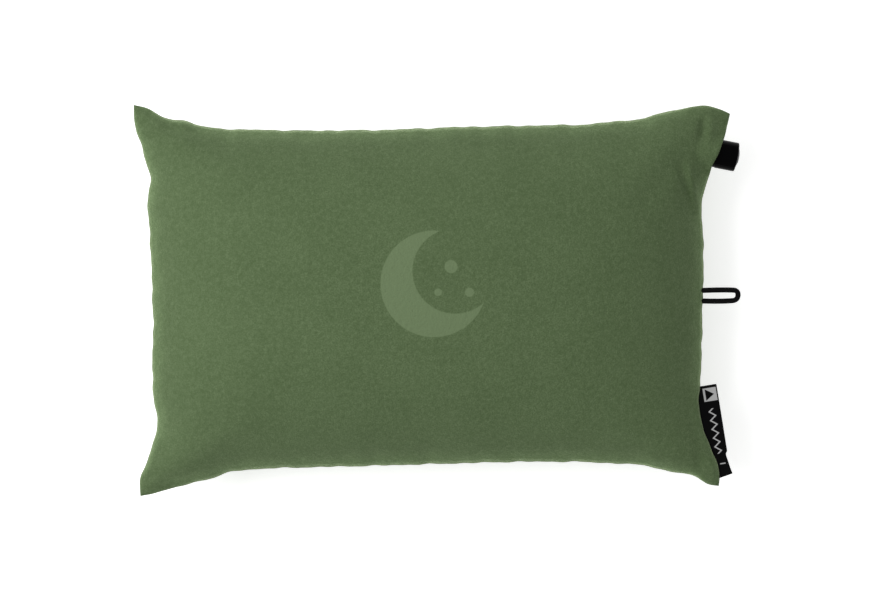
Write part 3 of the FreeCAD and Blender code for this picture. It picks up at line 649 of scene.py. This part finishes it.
suede_top = suede("suede_top", marked=True)
suede_back = suede("suede_back")
rim = np.ones((COUNT_S, COUNT_T), bool)
rim[1:-1, 1:-1] = False
top[rim, 2] += SEAM_GAP
back[rim, 2] -= SEAM_GAP
gap = np.linalg.norm(top - back, axis=2)[..., None]
fabric = np.minimum(FABRIC, MOST_OF_GAP * gap)

case_top = shell("case_top", top, inward(top, TOP, fabric), suede_top)

hem = 1.0 + HEM * smooth_step(s_at, OPENING_S - 0.06, OPENING_S - 0.04)[:, None, None]
left_in = part_of(inward(back, BACK, fabric * hem), -1, OPENING_S)
case_back_left = shell("case_back_left", left_in, part_of(back, -1, OPENING_S), suede_back)

tuck = 1 - smooth_step(s_at, OPENING_S + 0.002, OPENING_S + 0.022)[:, None, None]
tucked = np.minimum(TUCK * tuck, MOST_OF_GAP * gap)
right_in = part_of(inward(back, BACK, tucked + fabric), OVERLAP_S, 1)
right_out = part_of(inward(back, BACK, tucked), OVERLAP_S, 1)
case_back_right = shell("case_back_right", right_in, right_out, suede_back)

# ---------------------------------------------------------------- inside the case
# Each piece's reach along and across the panels, as shares of half their length and width.
FOAM_REACH = (-0.86, 0.86, -0.84, 0.84)
BLADDER_REACH = (-0.93, 0.93, -0.90, 0.90)
SACK_REACH = (0.30, 0.93, -0.5, 0.5)
CARE_REACH = (-0.80, -0.58, -0.76, -0.44)
BAFFLE_REACH = 0.62
BAFFLES_AT = (-0.44, 0.0, 0.44)
BAFFLE_HALF = 0.25  # mm, half a baffle's thickness
BAFFLE_WELD = 0.6  # mm from a baffle's edge to the middle of the skin
DIP_WIDTH, DIP_DEPTH = 0.085, 0.10
SKIN = 0.5  # mm
FOAM_DEPTH = 1.6  # mm below the case's outside
SACK_DEPTHS = (3.6, 2.4)
CARE_DEPTHS = (2.4, 2.0)
SACK_NYLON = ("sack_nylon", rgba(0.040, 0.050, 0.032), rgba(0.055, 0.066, 0.044))
CARE_SATIN = ("care_satin", rgba(0.70, 0.70, 0.68), rgba(0.78, 0.78, 0.76))

dome_s = (1 - np.clip(np.abs(s_at) / BLADDER_REACH[1], 0, 1) ** 4)[:, None] ** 0.5
dome = dome_s * (1 - np.clip(np.abs(t_at) / BLADDER_REACH[3], 0, 1) ** 3.2)[None] ** 0.5
dips = sum(np.exp(-(((t_at - at) / DIP_WIDTH) ** 2)) for at in BAFFLES_AT)[None]
dips = 1 - DIP_DEPTH * dips * (1 - smooth_step(np.abs(s_at), 0.60, 0.75))[:, None]
half = np.maximum(gap[..., 0] / 2, 0.1)
# Shares of the way from the back panel to the top panel.
bladder_up = 0.5 + 0.29 * dome * dips
bladder_down = 0.5 - 0.44 * dome * dips
foam_down = 0.5 + 0.30 * dome
skin = SKIN / half / 2


def layer(name, upper, lower, reach, material):
    """Closed piece between two grids within its reach, at half their fineness."""
    return shell(name, part_of(upper, *reach)[::2, ::2], part_of(lower, *reach)[::2, ::2], material)


foam = layer("foam", inward(top, TOP, FOAM_DEPTH), between_panels(foam_down), FOAM_REACH, foam_material())
rounded = foam.modifiers.new("smooth", "SUBSURF")
rounded.levels = rounded.render_levels = 1
bladder_top, bladder_bottom = (
    layer(
        name, between_panels(upper), between_panels(upper - skin), BLADDER_REACH,
        plain_cloth(name + "_film", rgba(0.20, 0.22, 0.20), rgba(0.26, 0.28, 0.26)),
    )
    for name, upper in (("bladder_top", bladder_up + skin), ("bladder_bottom", bladder_down))
)
baffle_film = plain_cloth("baffle_film", rgba(0.42, 0.44, 0.44), rgba(0.50, 0.52, 0.52))
baffles = []
for number, at in enumerate(BAFFLES_AT, 1):
    row = int(np.argmin(np.abs(t_at - at)))
    span = np.where(np.abs(s_at) <= BAFFLE_REACH)[0]
    low = between_panels(bladder_down)[span, row] + (0, 0, BAFFLE_WELD)
    high = between_panels(bladder_up)[span, row] - (0, 0, BAFFLE_WELD)
    web = np.stack([low + (high - low) * share for share in np.linspace(0, 1, 7)], 1)
    side = (0, BAFFLE_HALF, 0)
    baffles.append(shell(f"baffle_{number}", web - side, web + side, baffle_film))

sack, care = (
    shell(name, *(part_of(inward(back, BACK, depth), *reach) for depth in depths), plain_cloth(*cloth))
    for name, reach, depths, cloth in (
        ("sack", SACK_REACH, SACK_DEPTHS, SACK_NYLON),
        ("care_tag", CARE_REACH, CARE_DEPTHS, CARE_SATIN),
    )
)
OVERLOCK_REACHES = (1.6, 3.5, 5.4, 7.4)  # mm in from the edge
OVERLOCK_HALF = 1.1  # mm, half the band's thickness where there is room
OVERLOCK_OF_GAP = 0.25  # and its most, as a share of the gap between the panels
OVERLOCK_FIT = 0.8  # the most of the distance to the next side that the band takes near a corner
GRID_PITCH = 2.0  # mm between the grid's points
MOUTH_FROM_Y, MOUTH_TO_Y = 86.0, 122.0  # mm, where the seam is open for the valve


def overlock_band():
    """Folded seam allowance, inside the edge all the way round but for the valve's mouth."""
    middle = between_panels(0.5)
    left, right, front, back_side = rim_distance(middle[..., :2])
    last_s, last_t = COUNT_S - 1, COUNT_T - 1
    # Grid points round the edge, each with the step that leads inwards.
    ring = [(i, 0, 0, 1) for i in range(1, last_s)]
    ring += [(last_s, j, -1, 0) for j in range(1, last_t)]
    ring += [(i, last_t, 0, -1) for i in range(last_s - 1, 0, -1)]
    ring += [(0, j, 1, 0) for j in range(last_t - 1, 0, -1)]
    start = next(k for k, (i, j, _, _) in enumerate(ring) if i == last_s and middle[i, j, 1] > MOUTH_TO_Y)
    band = []
    for i, j, step_i, step_j in ring[start:] + ring[:start]:
        if i == last_s and MOUTH_FROM_Y < middle[i, j, 1] < MOUTH_TO_Y:
            continue
        along = (left, right) if step_i == 0 else (front, back_side)
        fit = min(1.0, OVERLOCK_FIT * min(side[i, j] for side in along) / OVERLOCK_REACHES[-1])
        column = []
        for reach in OVERLOCK_REACHES:
            within = 1 + int(fit * reach / GRID_PITCH)
            at = (i + step_i * within, j + step_j * within)
            place = middle[i, j] + np.array([step_i, step_j, 0]) * reach * fit
            thick = min(OVERLOCK_HALF, OVERLOCK_OF_GAP * gap[at][0])
            column.append((place[0], place[1], middle[at][2], thick))
        band.append(column)
    band = np.array(band)
    up = np.zeros_like(band[..., :3])
    up[..., 2] = band[..., 3]
    return shell("overlock", band[..., :3] + up, band[..., :3] - up, suede_back)


overlock = overlock_band()

# ---------------------------------------------------------------- side label
LABEL_PLACE = (204.7, -60.9)
LABEL_LEAN = math.radians(9.3)
LABEL_LENGTH = 67.0
LABEL_WIDTH = 15.0
LABEL_CREASE = 50.0
LABEL_BEND = math.radians(8.5)  # how far the tape turns at its crease
LABEL_HALF = 0.35  # mm from the fold's middle plane to each layer
LABEL_CLOTH_HALF = 0.2
FOLD_DEPTH = 0.3
# The label's motif, in metres in the tape's own directions.
BADGE_X, BADGE_Y, BADGE_HALF = -0.0056, -0.0068, 0.0048
PEAK_FOOT_X, PEAK_HEIGHT, PEAK_SLOPE = -0.0090, 0.0064, 1.5
ZIGZAG_REACH, ZIGZAG_SLOPE, ZIGZAG_X, ZIGZAG_HALF = 0.0032, 1.3, -0.0082, 0.00070
THREAD_EDGE = 0.00012


def label_motif(shader):
    """Pale woven square with a peak left out of it, and a ridge line along the tape."""
    axes = shader.add("ShaderNodeSeparateXYZ", {"Vector": shader.place})
    x, y = axes.outputs["X"], axes.outputs["Y"]

    def near(value, centre, reach):
        away = shader.math("ABSOLUTE", shader.math("SUBTRACT", value, centre))
        return shader.ramp(away, reach + THREAD_EDGE, reach - THREAD_EDGE)

    square = shader.math("MULTIPLY", near(x, BADGE_X, BADGE_HALF), near(y, BADGE_Y, BADGE_HALF))
    off_middle = shader.math("ABSOLUTE", shader.math("SUBTRACT", y, BADGE_Y))
    rise = shader.math("SUBTRACT", x, PEAK_FOOT_X)
    under_slope = shader.math("ADD", rise, shader.math("MULTIPLY", off_middle, PEAK_SLOPE))
    under = shader.ramp(under_slope, PEAK_HEIGHT, PEAK_HEIGHT - 0.0002)
    above = shader.ramp(rise, 0.0, 0.0002)
    peak_left_out = shader.math("SUBTRACT", 1.0, shader.math("MULTIPLY", under, above))
    square = shader.math("MULTIPLY", square, peak_left_out)
    zigzag = shader.math("MULTIPLY", shader.math("PINGPONG", y, ZIGZAG_REACH), ZIGZAG_SLOPE)
    ridge = near(shader.math("SUBTRACT", x, zigzag), ZIGZAG_X, ZIGZAG_HALF)
    ridge = shader.math("MULTIPLY", ridge, near(y, -0.0335, 0.0165))
    tail = shader.math("MULTIPLY", near(x, -0.0045, 0.0020), near(y, -0.0575, 0.0004))
    return shader.math("MAXIMUM", shader.math("MAXIMUM", square, ridge), tail)


def make_label():
    """Tape folded along its outer edge, with a crease where it has been bent."""
    across = [-LABEL_WIDTH + (LABEL_WIDTH - FOLD_DEPTH) * k / 7 for k in range(8)]
    fold = [(x, LABEL_HALF) for x in across]
    for turn in np.radians([60, 20, -20, -60]):
        fold.append((FOLD_DEPTH * (math.cos(turn) - 1), LABEL_HALF * math.sin(turn)))
    fold = np.array(fold + [(x, -LABEL_HALF) for x in reversed(across)])
    normal = np.gradient(fold, axis=0)
    normal = np.stack([-normal[:, 1], normal[:, 0]], 1)
    normal /= np.linalg.norm(normal, axis=1, keepdims=True)
    layers = []
    for reach in (LABEL_CLOTH_HALF, -LABEL_CLOTH_HALF):
        path = fold + normal * reach
        rows = []
        for y in np.linspace(0, -LABEL_LENGTH, 46):
            past = max(0.0, -y - LABEL_CREASE)
            bend = smooth_step(-y, LABEL_CREASE - 1.0, LABEL_CREASE + 1.5)
            wave = 0.5 * math.sin(-y / 11.0) - 1.2 * bend * math.exp(-past / 5.0) + 0.05 * past
            x_line = path[:, 0] * (1 - 0.05 * bend) + math.tan(LABEL_BEND * bend) * past - 1.5 * bend
            lift = wave * smooth_step(path[:, 0], -11.0, 0.0)
            end_tilt = 0.18 * (path[:, 0] + 7.0) * smooth_step(-y, 60.0, LABEL_LENGTH)
            rows.append(np.stack([x_line, y + end_tilt, path[:, 1] + lift], 1))
        layers.append(np.array(rows))
    dark, raised = rgba(0.0016, 0.0016, 0.0018), rgba(0.00356, 0.00356, 0.00388)
    tape = woven_tape("label_tape", dark, raised, rgba(0.42, 0.42, 0.42), label_motif)
    label = shell("label", layers[0], layers[1], tape)
    place = Vector((*LABEL_PLACE, SEAM_Z)) * MM
    label.matrix_world = Matrix.Translation(place) @ Matrix.Rotation(LABEL_LEAN, 4, "Z")
    return label


label = make_label()

# ---------------------------------------------------------------- hang loop's bar tack
TACK_STITCHES = 27
TACK_FROM_Y, TACK_LENGTH = -3.6, 12.6
TACK_X, TACK_WIDTH = 191.0, 1.6
TACK_ABOVE = 2.2  # mm from the cord's middle to the thread's
THREAD_DIAMETER = 0.44


def make_tack():
    """Zigzag bar tack over and under both legs of the loop, inside the seam."""
    curve = bpy.data.curves.new("loop_tack", "CURVE")
    curve.dimensions = "3D"
    curve.bevel_depth = THREAD_DIAMETER / 2 * MM
    curve.use_fill_caps = True
    for side in (1, -1):
        spline = curve.splines.new("POLY")
        spline.points.add(TACK_STITCHES - 1)
        for k, point in enumerate(spline.points):
            x = TACK_X + TACK_WIDTH * (k % 2)
            y = TACK_FROM_Y + TACK_LENGTH * k / (TACK_STITCHES - 1)
            point.co = (x * MM, y * MM, (SEAM_Z + side * TACK_ABOVE) * MM, 1.0)
    tack = bpy.data.objects.new("loop_tack", curve)
    bpy.context.collection.objects.link(tack)
    curve.materials.append(plain_cloth("tack_thread", rgba(0.008, 0.008, 0.008), rgba(0.016, 0.016, 0.016)))
    return tack


tack = make_tack()

# ---------------------------------------------------------------- which CAD nodes the soft pieces stand for
STANDS_FOR = (
    (case_top, "case_top_panel"),
    (case_back_left, "case_back_panel_left"),
    (case_back_right, "case_back_panel_right"),
    (overlock, "case_seam_overlock"),
    (label, "side_label"),
    (care, "care_label"),
    (sack, "stuff_sack"),
    (tack, "hang_loop_tack"),
    (foam, "foam_pad"),
    (bladder_top, "bladder_top_skin"),
    (bladder_bottom, "bladder_bottom_skin"),
    (baffles[0], "bladder_baffle_1"),
    (baffles[1], "bladder_baffle_2"),
    (baffles[2], "bladder_baffle_3"),
)
for piece, node in STANDS_FOR:
    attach(piece, "pillow")
    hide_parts(node)

# ---------------------------------------------------------------- valve, as the CAD has it
KNOB_SPECULAR = 0.025
KNOB_DARK, KNOB_LIGHT = rgba(0.0008, 0.0008, 0.0010), rgba(0.0014, 0.0014, 0.0016)

black_plastic = moulded("black_plastic", rgba(0.010, 0.010, 0.010), rgba(0.014, 0.014, 0.014), 0.42)
knob_plastic = moulded("knob_plastic", KNOB_DARK, KNOB_LIGHT, 0.16, KNOB_SPECULAR)
seal_rubber = moulded("seal_rubber", rgba(0.012, 0.012, 0.012), rgba(0.018, 0.018, 0.018), 0.6)
VALVE_FINISH = {
    "valve_boat": black_plastic,
    "valve_gasket": seal_rubber,
    "valve_body": black_plastic,
    "valve_poppet": black_plastic,
    "valve_poppet_oring": seal_rubber,
    "valve_clip": steel(),
    "valve_knob": knob_plastic,
    "valve_end_cap": knob_plastic,
}
for node, material in VALVE_FINISH.items():
    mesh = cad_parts[node].data
    mesh.materials.clear()
    mesh.materials.append(material)

# ---------------------------------------------------------------- stage and light
WHITE = rgba(1.0, 1.0, 1.0)
FLOOR_GLOW = 0.49
SKY_STRENGTH = 0.60
KEY_PLACE, KEY_SIZE, KEY_POWER = (-0.78, 0.22, 0.95), 0.9, 11.1

floor_shader = Shader("floor", Roughness=0.9, Emission_Color=WHITE, Emission_Strength=FLOOR_GLOW)
floor_shader.colour(floor_shader.mix(floor_shader.noise(3.0), rgba(0.93, 0.93, 0.93), rgba(0.95, 0.95, 0.95)))
floor_corners = [(-3, -3, 0), (3, -3, 0), (3, 3, 0), (-3, 3, 0)]
floor = mesh_object("floor", floor_corners, [(0, 1, 2, 3)], floor_shader.material)

world = bpy.data.worlds.new("studio")
bpy.context.scene.world = world
world.use_nodes = True
world.node_tree.nodes["Background"].inputs["Color"].default_value = WHITE
world.node_tree.nodes["Background"].inputs["Strength"].default_value = SKY_STRENGTH
bpy.context.scene.view_settings.view_transform = "Standard"


def area_light(name, place, size, power):
    data = bpy.data.lights.new(name, "AREA")
    data.size = size
    data.energy = power
    light = bpy.data.objects.new(name, data)
    light.location = place
    light.rotation_euler = (-Vector(place)).to_track_quat("-Z", "Y").to_euler()
    bpy.context.collection.objects.link(light)


area_light("key", KEY_PLACE, KEY_SIZE, KEY_POWER)
